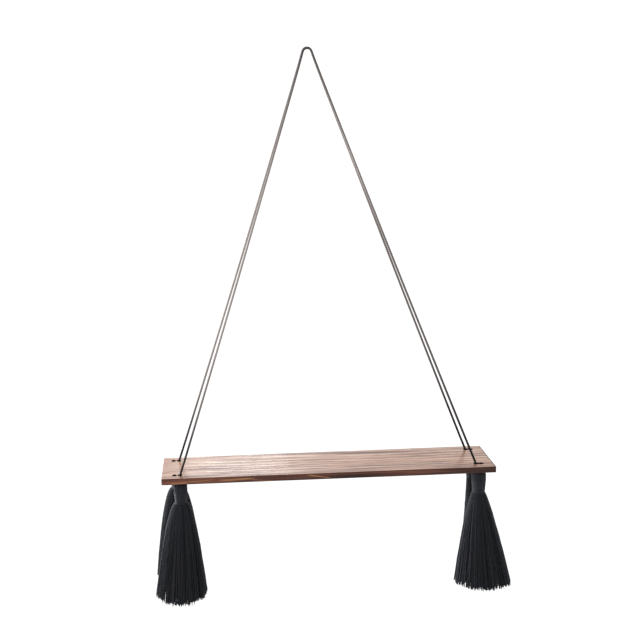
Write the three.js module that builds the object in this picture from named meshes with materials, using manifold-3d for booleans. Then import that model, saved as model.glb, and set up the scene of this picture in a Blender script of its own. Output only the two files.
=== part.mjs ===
// Rope wall shelf: a plank carried by two ropes over one hanging point, with a yarn tassel under each rope end.
// Millimetres. +X runs right along the plank, +Y goes back to the wall and +Z is up.
// The origin is the hanging point, inside the bend where both ropes pass over what holds them.
import * as THREE from "three";
import { mergeVertices } from "three/addons/utils/BufferGeometryUtils.js";
import Module from "manifold-3d";

const wasm = await Module();
wasm.setup();

// Clearance between pieces that touch on the real shelf.
const GAP = 0.3;

// The plank, its place under the hanging point and its four pairs of holes.
const PLANK = { length: 600, depth: 100, thick: 12, ease: 1.2, easeSteps: 2 };
const PLANK_DROP = 740;
const WALL_DISTANCE = 12;
const PLANK_MID_Y = WALL_DISTANCE - PLANK.depth / 2;
// The ropes have slipped a little over their support, so the plank's middle hangs right of it.
const PLANK_MID_X = 10;
const UNDERSIDE = -PLANK_DROP - PLANK.thick;
// At each end of a row the inner hole takes the rope and the outer one stays empty.
const HOLE = { radius: 4, out: 267.5, fromMiddle: 34, sides: 18 };
const HOLES_APART = { left: 10, right: 9 };
const ROW_Y = { front: PLANK_MID_Y - HOLE.fromMiddle, back: PLANK_MID_Y + HOLE.fromMiddle };

// The ropes. Each goes down through the inner holes of its row and over its own lane at the hanging point.
// leftOff and rightOff say how far right of their marked place the holes of its row are drilled.
const ROPE = { diameter: 4, sides: 8, stepsPerSpan: 2 };
const LANE_Y = (ROPE.diameter + GAP) / 2;
const ROPES = [
  { name: "rope_front", rowY: ROW_Y.front, laneY: -LANE_Y, shiftX: 1, shiftUp: -4, leftOff: 1.0, rightOff: 1.2 },
  { name: "rope_back", rowY: ROW_Y.back, laneY: LANE_Y, shiftX: 0, shiftUp: 0, leftOff: -3.3, rightOff: 1.2 },
];

// Half of a rope's route, from its foot on a tassel's crown to the top of the bend.
// out is the distance from the rope's middle and up the height over the hanging point.
const HALF_ROUTE = [
  { out: 269.0, up: -752.0 },
  { out: 268.1, up: -746.5 },
  { out: 267.0, up: -741.6 },
  { out: 265.9, up: -736.8 },
  { out: 263.5, up: -729.9 },
  { out: 256.2, up: -710.1 },
  { out: 204.0, up: -563.8 },
  { out: 137.4, up: -375.1 },
  { out: 71.8, up: -186.4 },
  { out: 16.6, up: -25.9 },
  { out: 9.8, up: -5.2 },
  { out: 7.3, up: 2.2 },
  { out: 5.5, up: 5.0 },
  { out: 2.9, up: 6.7 },
  { out: 0.0, up: 7.2 },
];

// A tassel's head, as depths below the plank's underside. The binding sits in the waist above the lip,
// and draws the yarns in by pull at its lower rim.
const HEAD = { sides: 18, crown: 5.5, shoulder: 7.5, shoulderSteps: 3, barrel: 18, lip: 44, lipEnd: 49 };
const WAIST = { step: 2, pull: 2 };
const ROOT = { depth: 47, blockEnd: 53, inset: 0.4, blockTaper: 2.5, blockTip: 55 };
const BINDING = { edge: 0.7 };

// The tassels. x is the place from the plank's middle, head is the head's radius, length reaches
// from the underside to the ends, spread is the skirt's radius there and a flare under 1 opens it
// early, like a bell. leanX and leanY move the ends sideways, and the skirt presses flat where it
// meets the wall or its neighbour: front and back say how far it may reach each way.
const MIDDLE_REACH = HOLE.fromMiddle - 1;
const WALL_REACH = WALL_DISTANCE - ROW_Y.back - 0.5;
const FREE = 1000;
const TASSELS = [
  { name: "left_front", x: -267, rowY: ROW_Y.front, head: 12.8, length: 221, spread: 48.5, flare: 0.55,
    leanX: -8, leanY: -1, front: FREE, back: MIDDLE_REACH, seed: 3 },
  { name: "left_back", x: -276.5, rowY: ROW_Y.back, head: 12.5, length: 221, spread: 45, flare: 0.47,
    leanX: -3.5, leanY: 0, front: MIDDLE_REACH, back: WALL_REACH, seed: 5 },
  { name: "right_front", x: 273.5, rowY: ROW_Y.front, head: 12.8, length: 220, spread: 50.5, flare: 0.77,
    leanX: 7.5, leanY: -1, front: FREE, back: MIDDLE_REACH, seed: 8 },
  { name: "right_back", x: 279, rowY: ROW_Y.back, head: 10, length: 214, spread: 22, flare: 1.2,
    leanX: 5, leanY: 0, front: MIDDLE_REACH, back: WALL_REACH, seed: 13 },
];

// Locks of yarn stand in rings. across is the ring's place from the axis, 0, to the skirt's outside, 1.
const RINGS = [
  { count: 30, sides: 4, across: 1.0, thick: 0.115, stations: [0, 0.1, 0.35, 0.75, 1] },
  { count: 18, sides: 3, across: 0.63, thick: 0.125, stations: [0, 0.15, 0.6, 1] },
  { count: 8, sides: 3, across: 0.27, thick: 0.125, stations: [0, 0.3, 1] },
];
const LOCK = { fill: 0.8, tipFill: 0.42, lengthVary: 7, turnVary: 0.06 };

const wood = new THREE.MeshStandardMaterial({ color: 0x8c4a36, roughness: 0.35, metalness: 0 });
const ropeYarn = new THREE.MeshStandardMaterial({ color: 0x2c2a29, roughness: 0.8, metalness: 0 });
const tasselYarn = new THREE.MeshStandardMaterial({ color: 0x2d2f35, roughness: 0.9, metalness: 0 });
const bindingYarn = new THREE.MeshStandardMaterial({ color: 0x272930, roughness: 0.85, metalness: 0 });

// A closed geometry as a solid that can be joined and cut.
function toSolid(geometry) {
  const bare = geometry.clone();
  bare.deleteAttribute("normal");
  bare.deleteAttribute("uv");
  const merged = mergeVertices(bare, 1e-4);
  return new wasm.Manifold(
    new wasm.Mesh({
      numProp: 3,
      vertProperties: new Float32Array(merged.attributes.position.array),
      triVerts: new Uint32Array(merged.index.array),
    }),
  );
}

// A solid's surface as a geometry.
function toGeometry(solid) {
  const mesh = solid.getMesh();
  const geometry = new THREE.BufferGeometry();
  geometry.setAttribute("position", new THREE.BufferAttribute(mesh.vertProperties, 3));
  geometry.setIndex(new THREE.BufferAttribute(mesh.triVerts, 1));
  geometry.computeVertexNormals();
  return geometry;
}

// An even spread of values from 0 to 1, the same on every run.
function scatter(seed, index) {
  const value = Math.sin(seed * 12.9898 + index * 78.233) * 43758.5453;
  return value - Math.floor(value);
}

function namedMesh(name, geometry, material) {
  const mesh = new THREE.Mesh(geometry, material);
  mesh.name = name;
  return mesh;
}

// The plank with eased edges and its holes, its top at z = 0 and its middle at the origin.
function plankGeometry() {
  const halfLength = PLANK.length / 2;
  const halfDepth = PLANK.depth / 2;
  const outline = new THREE.Shape([
    new THREE.Vector2(-halfLength, -halfDepth),
    new THREE.Vector2(halfLength, -halfDepth),
    new THREE.Vector2(halfLength, halfDepth),
    new THREE.Vector2(-halfLength, halfDepth),
  ]);
  const body = new THREE.ExtrudeGeometry(outline, {
    depth: PLANK.thick - 2 * PLANK.ease,
    bevelThickness: PLANK.ease,
    bevelSize: PLANK.ease,
    bevelOffset: -PLANK.ease,
    bevelSegments: PLANK.easeSteps,
  });
  body.translate(0, 0, PLANK.ease - PLANK.thick);
  let solid = toSolid(body);
  for (const rope of ROPES) {
    const left = rope.leftOff - HOLE.out;
    const right = rope.rightOff + HOLE.out;
    for (const x of [left - HOLES_APART.left, left, right, right + HOLES_APART.right]) {
      const drill = new THREE.CylinderGeometry(HOLE.radius, HOLE.radius, 2 * PLANK.thick, HOLE.sides);
      drill.rotateX(Math.PI / 2);
      drill.translate(x, rope.rowY - PLANK_MID_Y, -PLANK.thick / 2);
      solid = solid.subtract(toSolid(drill));
    }
  }
  return toGeometry(solid);
}

// A smooth line that spends its steps evenly between its points, so the short bends get their share.
class RopeRoute extends THREE.CatmullRomCurve3 {
  getPointAt(u, target) {
    return this.getPoint(u, target);
  }

  getTangentAt(u, target) {
    return this.getTangent(u, target);
  }
}

// A point of a rope's route. Towards the hanging point it moves from its holes and its row
// to the support and its lane, and takes its shift.
function routePoint(rope, side, { out, up }) {
  const rise = THREE.MathUtils.clamp((up + PLANK_DROP) / PLANK_DROP, 0, 1);
  const holeOff = side < 0 ? rope.leftOff : rope.rightOff;
  const middle = THREE.MathUtils.lerp(PLANK_MID_X + holeOff, rope.shiftX, rise);
  const y = THREE.MathUtils.lerp(rope.rowY, rope.laneY, rise);
  return new THREE.Vector3(side * out + middle, y, up + rope.shiftUp * rise);
}

function ropeGeometry(rope) {
  const left = HALF_ROUTE.map((row) => routePoint(rope, -1, row));
  const right = HALF_ROUTE.slice(0, -1).map((row) => routePoint(rope, 1, row));
  const route = new RopeRoute([...left, ...right.reverse()]);
  const section = [];
  for (let i = 0; i < ROPE.sides; i++) {
    const angle = (i * 2 * Math.PI) / ROPE.sides;
    section.push(new THREE.Vector2(Math.cos(angle), Math.sin(angle)).multiplyScalar(ROPE.diameter / 2));
  }
  const steps = (route.points.length - 1) * ROPE.stepsPerSpan;
  return new THREE.ExtrudeGeometry(new THREE.Shape(section), { steps, extrudePath: route });
}

// A turned form from its half profile of radii and depths below the underside.
function turned(profile) {
  return new THREE.LatheGeometry(
    profile.map(([radius, depth]) => new THREE.Vector2(radius, -depth)).reverse(),
    HEAD.sides,
  ).rotateX(Math.PI / 2);
}

// The head: a flat crown, a round shoulder, the barrel, the waist under the binding and the block of the roots.
function headGeometry(radius) {
  const neck = radius - WAIST.pull;
  const profile = [[0, GAP]];
  for (let i = 0; i <= HEAD.shoulderSteps; i++) {
    const angle = (i / HEAD.shoulderSteps) * (Math.PI / 2);
    profile.push([
      HEAD.crown + (radius - HEAD.crown) * Math.sin(angle),
      HEAD.shoulder - (HEAD.shoulder - GAP) * Math.cos(angle),
    ]);
  }
  profile.push(
    [radius, HEAD.barrel],
    [radius - WAIST.step, HEAD.barrel],
    [neck - WAIST.step, HEAD.lip],
    [neck - ROOT.inset, HEAD.lip],
    [neck - ROOT.inset, HEAD.lipEnd],
    [neck - ROOT.blockTaper, ROOT.blockEnd],
    [0, ROOT.blockTip],
  );
  return turned(profile);
}

// The binding: a ring of wound yarn in the head's waist, narrower at its foot and with rounded rims.
function bindingGeometry(radius) {
  const neck = radius - WAIST.pull;
  const room = WAIST.step - GAP;
  const top = HEAD.barrel + GAP;
  const bottom = HEAD.lip - GAP;
  const profile = [
    [radius - room, top],
    [radius - BINDING.edge, top],
    [radius, top + BINDING.edge],
    [neck, bottom - BINDING.edge],
    [neck - BINDING.edge, bottom],
    [neck - room, bottom],
    [radius - room, top],
  ];
  return turned(profile);
}

// The skirt's radius at a share t of the way from the roots to the ends.
function skirtRadius(tassel, t) {
  const root = tassel.head - WAIST.pull - ROOT.inset;
  return root + (tassel.spread - root) * t ** tassel.flare;
}

// Moves a point of the skirt sideways with its lean, once it is pressed to the reach on its side.
function settle(tassel, t, x, y) {
  const reach = y > 0 ? tassel.back : tassel.front;
  const pressed = y * Math.min(1, reach / skirtRadius(tassel, t));
  return [x + tassel.leanX * t, pressed + tassel.leanY * t];
}

// One lock: a bar of 3 or 4 sides, bent down the skirt, widening as the ring opens and tapering at its end.
function lockGeometry(tassel, ring, index) {
  const last = ring.stations.length - 1;
  const seed = tassel.seed + ring.count;
  const length = tassel.length - LOCK.lengthVary * scatter(seed, index);
  const turn = (index + LOCK.turnVary * (2 * scatter(seed + 1, index) - 1)) * ((2 * Math.PI) / ring.count);
  const lock = new THREE.CylinderGeometry(1, 1, 1, ring.sides, last);
  const points = lock.attributes.position;
  for (let i = 0; i < points.count; i++) {
    const station = Math.round((0.5 - points.getY(i)) * last);
    const t = ring.stations[station];
    const outside = skirtRadius(tassel, t);
    const halfThick = outside * ring.thick;
    const centre = (outside - halfThick) * ring.across;
    const fill = station === last ? LOCK.tipFill : LOCK.fill;
    const halfWide = ((Math.PI * centre) / ring.count) * fill;
    const radial = centre + points.getX(i) * halfThick;
    const along = -points.getZ(i) * halfWide;
    const roundX = Math.cos(turn) * radial - Math.sin(turn) * along;
    const roundY = Math.sin(turn) * radial + Math.cos(turn) * along;
    const [x, y] = settle(tassel, t, roundX, roundY);
    points.setXYZ(i, x, y, -THREE.MathUtils.lerp(ROOT.depth, length, t));
  }
  return lock;
}

function tasselGeometry(tassel) {
  let solid = toSolid(headGeometry(tassel.head));
  for (const ring of RINGS) {
    for (let i = 0; i < ring.count; i++) {
      solid = solid.add(toSolid(lockGeometry(tassel, ring, i)));
    }
  }
  return toGeometry(solid);
}

const shelf = new THREE.Group();

const plank = namedMesh("plank", plankGeometry(), wood);
plank.position.set(PLANK_MID_X, PLANK_MID_Y, -PLANK_DROP);
shelf.add(plank);

for (const rope of ROPES) {
  shelf.add(namedMesh(rope.name, ropeGeometry(rope), ropeYarn));
}

for (const tassel of TASSELS) {
  const hung = new THREE.Group();
  hung.position.set(PLANK_MID_X + tassel.x, tassel.rowY, UNDERSIDE);
  hung.add(namedMesh(`tassel_${tassel.name}`, tasselGeometry(tassel), tasselYarn));
  hung.add(namedMesh(`binding_${tassel.name}`, bindingGeometry(tassel.head), bindingYarn));
  shelf.add(hung);
}

export default shelf;
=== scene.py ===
import logging
import math
from dataclasses import dataclass, field
from enum import Enum
from typing import Any, ClassVar

import bmesh
import bpy
import numpy as np
from mathutils import Matrix, Vector


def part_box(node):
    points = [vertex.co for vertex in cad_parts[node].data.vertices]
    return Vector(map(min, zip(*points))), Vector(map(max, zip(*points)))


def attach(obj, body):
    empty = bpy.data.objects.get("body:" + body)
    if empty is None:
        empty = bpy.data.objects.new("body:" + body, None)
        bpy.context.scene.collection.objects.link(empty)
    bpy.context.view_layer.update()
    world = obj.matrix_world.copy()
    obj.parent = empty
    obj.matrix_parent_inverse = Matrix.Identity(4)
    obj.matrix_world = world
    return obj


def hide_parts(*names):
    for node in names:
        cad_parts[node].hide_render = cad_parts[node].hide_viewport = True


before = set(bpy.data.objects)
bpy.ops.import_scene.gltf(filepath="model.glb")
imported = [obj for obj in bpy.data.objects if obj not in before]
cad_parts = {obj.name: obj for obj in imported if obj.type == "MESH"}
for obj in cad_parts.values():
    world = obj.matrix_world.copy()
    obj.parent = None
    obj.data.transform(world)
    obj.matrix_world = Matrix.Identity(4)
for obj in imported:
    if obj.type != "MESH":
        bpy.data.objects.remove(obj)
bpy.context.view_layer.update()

LOG = logging.getLogger("rope_wall_shelf")
BODY = "root"
MM = 0.001
TURN = 2 * math.pi
ALONG_X, ALONG_Y, ALONG_Z = np.eye(3)

Colour = tuple[float, float, float]
Point = tuple[float, float, float]
Tones = tuple[Colour, Colour, Colour]


class Slot(Enum):
    """The record's material slots."""

    WOOD = "wood"
    ROPE = "rope"
    YARN = "yarn"
    BINDING = "binding"


class End(Enum):
    """An end of the plank, as the sign of its X."""

    LEFT = -1
    RIGHT = 1


class Value:
    """A shader socket that carries one number. Each sum or product with it adds a Math node."""

    def __init__(self, graph: "Graph", socket: bpy.types.NodeSocket) -> None:
        """Wraps a socket of a graph."""
        self.graph = graph
        self.socket = socket

    def __add__(self, other: "Value | float") -> "Value":
        """Self plus other."""
        return self.graph.math("ADD", self, other)

    def __radd__(self, other: float) -> "Value":
        """Other plus self."""
        return self.graph.math("ADD", other, self)

    def __sub__(self, other: "Value | float") -> "Value":
        """Self minus other."""
        return self.graph.math("SUBTRACT", self, other)

    def __rsub__(self, other: float) -> "Value":
        """Other minus self."""
        return self.graph.math("SUBTRACT", other, self)

    def __mul__(self, other: "Value | float") -> "Value":
        """Self times other."""
        return self.graph.math("MULTIPLY", self, other)

    def __rmul__(self, other: float) -> "Value":
        """Other times self."""
        return self.graph.math("MULTIPLY", other, self)

    def __truediv__(self, other: "Value | float") -> "Value":
        """Self over other."""
        return self.graph.math("DIVIDE", self, other)

    def __pow__(self, other: float) -> "Value":
        """Self to the power other."""
        return self.graph.math("POWER", self, other)


class Graph:
    """A material's nodes: one method for any node, and short ones for numbers, colours and vectors."""

    def __init__(self, name: str) -> None:
        """Makes an empty material.

        Args:
            name: the material's name.
        """
        self.material = bpy.data.materials.new(name)
        self.material.use_nodes = True
        self.tree = self.material.node_tree
        self.tree.nodes.clear()

    def node(
        self,
        kind: str,
        settings: dict[str, Any] | None = None,
        sockets: dict[str | int, Any] | None = None,
    ) -> bpy.types.Node:
        """Adds a node.

        Args:
            kind: the node's type.
            settings: its own settings, set first; "stops" are a ramp's (place, colour) rows.
            sockets: the values or links of its inputs, by name or number.

        Returns:
            The new node.
        """
        made = self.tree.nodes.new(kind)
        for name, value in (settings or {}).items():
            if name == "stops":
                self.set_stops(made.color_ramp, value)
            else:
                setattr(made, name, value)
        for name, value in (sockets or {}).items():
            if isinstance(value, Value):
                value = value.socket
            if isinstance(value, bpy.types.NodeSocket):
                self.tree.links.new(value, made.inputs[name])
            else:
                made.inputs[name].default_value = value
        return made

    @staticmethod
    def set_stops(ramp: bpy.types.ColorRamp, stops: list[tuple[float, Colour]]) -> None:
        """Gives a ramp its stops.

        Args:
            ramp: the ramp.
            stops: rows of place and colour, in rising order.
        """
        while len(ramp.elements) < len(stops):
            ramp.elements.new(0.5)
        for element, (place, colour) in zip(ramp.elements, stops):
            element.position = place
            element.color = (*colour, 1)

    def math(self, operation: str, *terms: "Value | float", clamp: bool = False) -> Value:
        """A Math node's result.

        Args:
            operation: the node's operation.
            terms: its inputs, in order.
            clamp: whether the result is held from 0 to 1.

        Returns:
            The result.
        """
        settings = {"operation": operation, "use_clamp": clamp}
        return Value(self, self.node("ShaderNodeMath", settings, dict(enumerate(terms))).outputs[0])

    def most(self, *terms: Value) -> Value:
        """The greatest of some values.

        Args:
            terms: the values.

        Returns:
            The greatest of them, point by point.
        """
        total = terms[0]
        for term in terms[1:]:
            total = self.math("MAXIMUM", total, term)
        return total

    def between(self, value: Value, low: float, high: float) -> Value:
        """A soft step.

        Args:
            value: what is stepped.
            low: the value up to which the step is 0.
            high: the value from which it is 1.

        Returns:
            The step, from 0 to 1.
        """
        settings = {"interpolation_type": "SMOOTHSTEP"}
        sockets = {"Value": value, "From Min": low, "From Max": high}
        return Value(self, self.node("ShaderNodeMapRange", settings, sockets).outputs[0])

    def place(self) -> bpy.types.NodeSocket:
        """The point's place in the model's frame, in metres."""
        return self.node("ShaderNodeTexCoord").outputs["Object"]

    def parts(self, vector: bpy.types.NodeSocket) -> tuple[Value, ...]:
        """The three numbers of a vector."""
        parted = self.node("ShaderNodeSeparateXYZ", sockets={0: vector})
        return tuple(Value(self, parted.outputs[name]) for name in "XYZ")

    def stretched(self, place: bpy.types.NodeSocket, scale: Point) -> bpy.types.NodeSocket:
        """A place with its three parts scaled."""
        sockets = {0: place, 1: scale}
        return self.node("ShaderNodeVectorMath", {"operation": "MULTIPLY"}, sockets).outputs[0]

    def noise(self, place: bpy.types.NodeSocket, scale: Point, detail: float = 2.0) -> Value:
        """Soft noise.

        Args:
            place: where it is read.
            scale: how many of its lumps stand in a metre, along X, Y and Z.
            detail: how many finer layers it has.

        Returns:
            The noise, from about 0.2 to 0.8.
        """
        sockets = {"Vector": self.stretched(place, scale), "Scale": 1.0, "Detail": detail}
        return Value(self, self.node("ShaderNodeTexNoise", sockets=sockets).outputs[0])

    def mix(self, first: Any, second: Any, factor: Value | float) -> bpy.types.NodeSocket:
        """A blend of two colours.

        Args:
            first: the colour at factor 0, as three numbers or a socket.
            second: the colour at factor 1.
            factor: the share of the second.

        Returns:
            The blend's socket.
        """
        ends = [(*c, 1) if isinstance(c, tuple) else c for c in (first, second)]
        sockets = {0: factor, 6: ends[0], 7: ends[1]}
        return self.node("ShaderNodeMix", {"data_type": "RGBA"}, sockets).outputs[2]

    def own(self, name: str) -> bpy.types.Node:
        """The node that reads one of the mesh's own attributes."""
        return self.node("ShaderNodeAttribute", {"attribute_name": name})

    def bump(self, height: Value, distance: float, strength: float = 1.0) -> bpy.types.NodeSocket:
        """A normal raised by a height.

        Args:
            height: the relief, from 0 to 1.
            distance: how far 1 stands out, in metres.
            strength: the share of the relief that shows.

        Returns:
            The normal's socket.
        """
        sockets = {"Height": height, "Distance": distance, "Strength": strength}
        return self.node("ShaderNodeBump", sockets=sockets).outputs[0]

    def finish(self, sockets: dict[str, Any]) -> bpy.types.Material:
        """Closes the material with a Principled shader.

        Args:
            sockets: the shader's values and links.

        Returns:
            The material.
        """
        shader = self.node("ShaderNodeBsdfPrincipled", sockets=sockets)
        self.node("ShaderNodeOutputMaterial", sockets={"Surface": shader.outputs[0]})
        return self.material


@dataclass(frozen=True)
class Streak:
    """A streak of golden sapwood in the plank's front edge, in millimetres.

    It runs from start_x to end_x along from the left end, at heights over the lower face.
    """

    start_x: float
    start_z: float
    end_x: float
    end_z: float
    half: float
    strength: float


STREAKS = (
    Streak(14, 2.4, 48, 4.4, 1.5, 0.85),
    Streak(46, 5.2, 98, 8.4, 0.8, 0.55),
    Streak(104, 5.4, 166, 7.2, 1.9, 1.0),
    Streak(160, 5.0, 208, 0.9, 1.1, 0.55),
    Streak(264, 9.8, 304, 2.2, 1.3, 0.95),
)


@dataclass(frozen=True)
class StainedWood:
    """A red-brown stained board under satin varnish, with its grain along X, and painted shade on its
    edges, ends, foot and the webs between the right holes.

    low and high are the board's box, shaded_webs the middles of the webs between the right holes that
    take painted shade, heart the tree's heart as Y and Z, and ring a growth ring's width. The lumps say
    how many lumps of a noise stand in a metre along
    X, Y and Z.
    """

    low: Point
    high: Point
    shaded_webs: tuple[tuple[float, float], ...]
    face: Tones = ((0.085, 0.034, 0.022), (0.300, 0.135, 0.082), (0.560, 0.320, 0.210))
    # painted shade: the edges' and ends' tones are the face's tones darkened, for the faces turned from
    # the light
    edge: Tones = ((0.024, 0.009, 0.008), (0.086, 0.029, 0.021), (0.235, 0.081, 0.050))
    straw: Colour = (0.420, 0.280, 0.170)
    golden: Colour = (0.620, 0.300, 0.120)
    # near black: painted shade for the foot line, the webs and the bore, and the real dark of the pores
    shade_and_pore_dark: Colour = (0.030, 0.012, 0.011)
    tone_places: Point = (0.08, 0.45, 0.92)
    heart: tuple[float, float] = (0.035, -0.800)
    ring: float = 0.0082
    wander: float = 2.1
    swelling: float = 4.62
    patch_lumps: Point = (4.0, 30.0, 22.0)
    pale_lumps: Point = (2.6, 34.0, 10.0)
    drift_lumps: Point = (3.1, 16.0, 16.0)
    swell_lumps: Point = (1.3, 4.0, 4.0)
    fibre_lumps: Point = (7.0, 330.0, 430.0)
    pore_lumps: Point = (30.0, 900.0, 900.0)
    wave_lumps: Point = (34.0, 60.0, 60.0)
    bore_mottle_lumps: Point = (300.0, 300.0, 900.0)
    wave: float = 3.2 * MM
    relief: float = 0.12 * MM
    # painted light on the edges towards the left end and painted shade towards the right end
    painted_light_left: float = 0.24
    painted_shade_right: float = 0.42
    bleached: float = 0.4
    # strength of the painted shadow line along the board's lower edge
    foot: float = 0.9
    bar_reach_x: float = 9.5 * MM
    bar_reach_y: float = 4.6 * MM

    def material(self) -> bpy.types.Material:
        """Makes the varnished finish of the board's outside.

        Returns:
            The material.
        """
        graph = Graph("stained_wood")
        place = graph.place()
        x, y, z = graph.parts(place)
        rings, fibres, pores = self.grain(graph, place, y, z)
        patches = graph.between(graph.noise(place, self.patch_lumps), 0.35, 0.68)
        light = rings * 0.30 + fibres * 0.42 + patches * 0.28
        side = self.side(graph, x, y)
        # Painted light: the edges and ends grow lighter towards the left end. Painted shade: they grow
        # darker towards the right end.
        painted_light_left = (1 - graph.between(x, self.low[0] + 30 * MM, self.low[0] + 220 * MM)) * self.painted_light_left
        painted_shade_right = graph.between(x, self.high[0] - 200 * MM, self.high[0] - 15 * MM) * self.painted_shade_right
        # painted shade: the edges and ends take the darker tones
        edge = self.ramp(graph, light + painted_light_left - painted_shade_right, self.edge)
        board = graph.mix(self.ramp(graph, light, self.face), edge, side)
        pale = graph.between(graph.noise(place, self.pale_lumps, 1.0), 0.5, 0.7) * (1 - side)
        board = graph.mix(board, self.straw, pale * self.bleached)
        sapwood = self.sapwood(graph, place, x, y, z) * (0.35 + fibres * 0.65)
        board = graph.mix(board, self.golden, sapwood)
        # painted shade on the webs between the right end's holes
        bars = self.bars(graph, x, y)
        # painted shadow: a dark line along the board's lower edge, for the shade under the front face
        foot = (1 - graph.between(z, self.low[2] + 0.3 * MM, self.low[2] + 2.4 * MM)) * self.foot
        dark = graph.most(foot, bars, pores * 0.5)
        board = graph.mix(board, self.shade_and_pore_dark, dark)
        relief = fibres * 0.35 + rings * 0.35 - pores * 0.8
        varnish = (0.08 + rings * 0.34 + fibres * 0.40) * (1 - pores)
        return graph.finish(
            {
                "Base Color": board,
                "Roughness": 0.44 - fibres * 0.08 + pores * 0.2 + bars * 0.3,
                "Normal": graph.bump(relief, self.relief, 0.6),
                "IOR": 1.5,
                "Specular Tint": (1.0, 0.86, 0.76, 1),
                "Coat Weight": varnish * (1 - side * 0.85) * (1 - bars),
                "Coat Roughness": 0.26,
            }
        )

    def bore(self) -> bpy.types.Material:
        """Makes the unvarnished finish inside the drilled holes, painted near black for the shade in
        them and mottled at random.

        Returns:
            The material.
        """
        graph = Graph("drilled_wood")
        bore_mottle = graph.between(graph.noise(graph.place(), self.bore_mottle_lumps), 0.35, 0.7)
        # painted shade: the holes' inside is near black, mottled at random
        colour = graph.mix(self.shade_and_pore_dark, self.edge[1], bore_mottle * 0.5)
        return graph.finish({"Base Color": colour, "Roughness": 0.9, "Specular IOR Level": 0.05})

    def grain(
        self, graph: Graph, place: bpy.types.NodeSocket, y: Value, z: Value
    ) -> tuple[Value, Value, Value]:
        """The board's figure.

        Args:
            graph: the material.
            place: the point's place.
            y: its Y.
            z: its Z.

        Returns:
            The growth rings, the fine fibres and the pores, each from 0 to 1.
        """
        off_y = y - self.heart[0]
        off_z = z - self.heart[1]
        apart = (off_y * off_y + off_z * off_z) ** 0.5
        drift = graph.noise(place, self.drift_lumps, 3.0) - 0.5
        swell = graph.noise(place, self.swell_lumps, 1.0) - 0.5
        count = apart / self.ring + drift * self.wander + swell * self.swelling
        phase = graph.math("FRACT", count)
        rings = graph.between(phase, 0.05, 0.70) * (1 - graph.between(phase, 0.84, 1.0))
        fibres = graph.between(graph.noise(place, self.fibre_lumps, 4.0), 0.37, 0.63)
        pores = graph.between(graph.noise(place, self.pore_lumps), 0.60, 0.70)
        return rings, fibres, pores

    def bars(self, graph: Graph, x: Value, y: Value) -> Value:
        """Painted shade on the wood between two holes that nearly touch, where the dark of the holes and
        the rope's shadow run together.

        Args:
            graph: the material.
            x: the point's X.
            y: its Y.

        Returns:
            The mask, 1 in the middle of the worn wood.
        """
        spots = []
        for at_x, at_y in self.shaded_webs:
            off_x = (x - at_x) / self.bar_reach_x
            off_y = (y - at_y) / self.bar_reach_y
            spots.append(1 - graph.between(off_x * off_x + off_y * off_y, 0.7, 1.1))
        return graph.most(*spots)

    def side(self, graph: Graph, x: Value, y: Value) -> Value:
        """The board's edges and ends.

        Args:
            graph: the material.
            x: the point's X.
            y: its Y.

        Returns:
            The mask, 1 on the edges and ends and 0 on the broad faces.
        """
        front = 1 - graph.between(y, self.low[1] + 0.2 * MM, self.low[1] + 0.9 * MM)
        back = graph.between(y, self.high[1] - 0.9 * MM, self.high[1] - 0.2 * MM)
        left = 1 - graph.between(x, self.low[0] + 0.4 * MM, self.low[0] + 1.6 * MM)
        right = graph.between(x, self.high[0] - 3.2 * MM, self.high[0] - 1.2 * MM)
        return graph.most(front, back, left, right)

    def ramp(self, graph: Graph, light: Value, tones: Tones) -> bpy.types.NodeSocket:
        """The wood's colour from its darkest to its lightest grain."""
        stops = list(zip(self.tone_places, tones))
        return graph.node("ShaderNodeValToRGB", {"stops": stops}, {0: light}).outputs[0]

    def sapwood(
        self, graph: Graph, place: bpy.types.NodeSocket, x: Value, y: Value, z: Value
    ) -> Value:
        """The golden streaks in the front edge.

        Args:
            graph: the material.
            place: the point's place.
            x: its X.
            y: its Y.
            z: its Z.

        Returns:
            The mask, 1 in the middle of the brightest streak.
        """
        wave = (graph.noise(place, self.wave_lumps) - 0.5) * self.wave
        bands = []
        for streak in STREAKS:
            start = self.low[0] + streak.start_x * MM
            run = (x - start) / ((streak.end_x - streak.start_x) * MM)
            held = graph.math("ADD", run, 0.0, clamp=True)
            rise = (streak.end_z - streak.start_z) * MM
            middle = held * rise + (self.low[2] + streak.start_z * MM)
            off = graph.math("ABSOLUTE", z + wave - middle) / (streak.half * MM)
            band = (1 - graph.between(off, 0.35, 1.1)) * graph.between(run, -0.1, 0.2)
            bands.append(band * (1 - graph.between(run, 0.8, 1.1)) * streak.strength)
        deep = graph.between(y, self.low[1] + 1.5 * MM, self.low[1] + 6 * MM)
        return graph.most(*bands) * (1 - deep)


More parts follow.
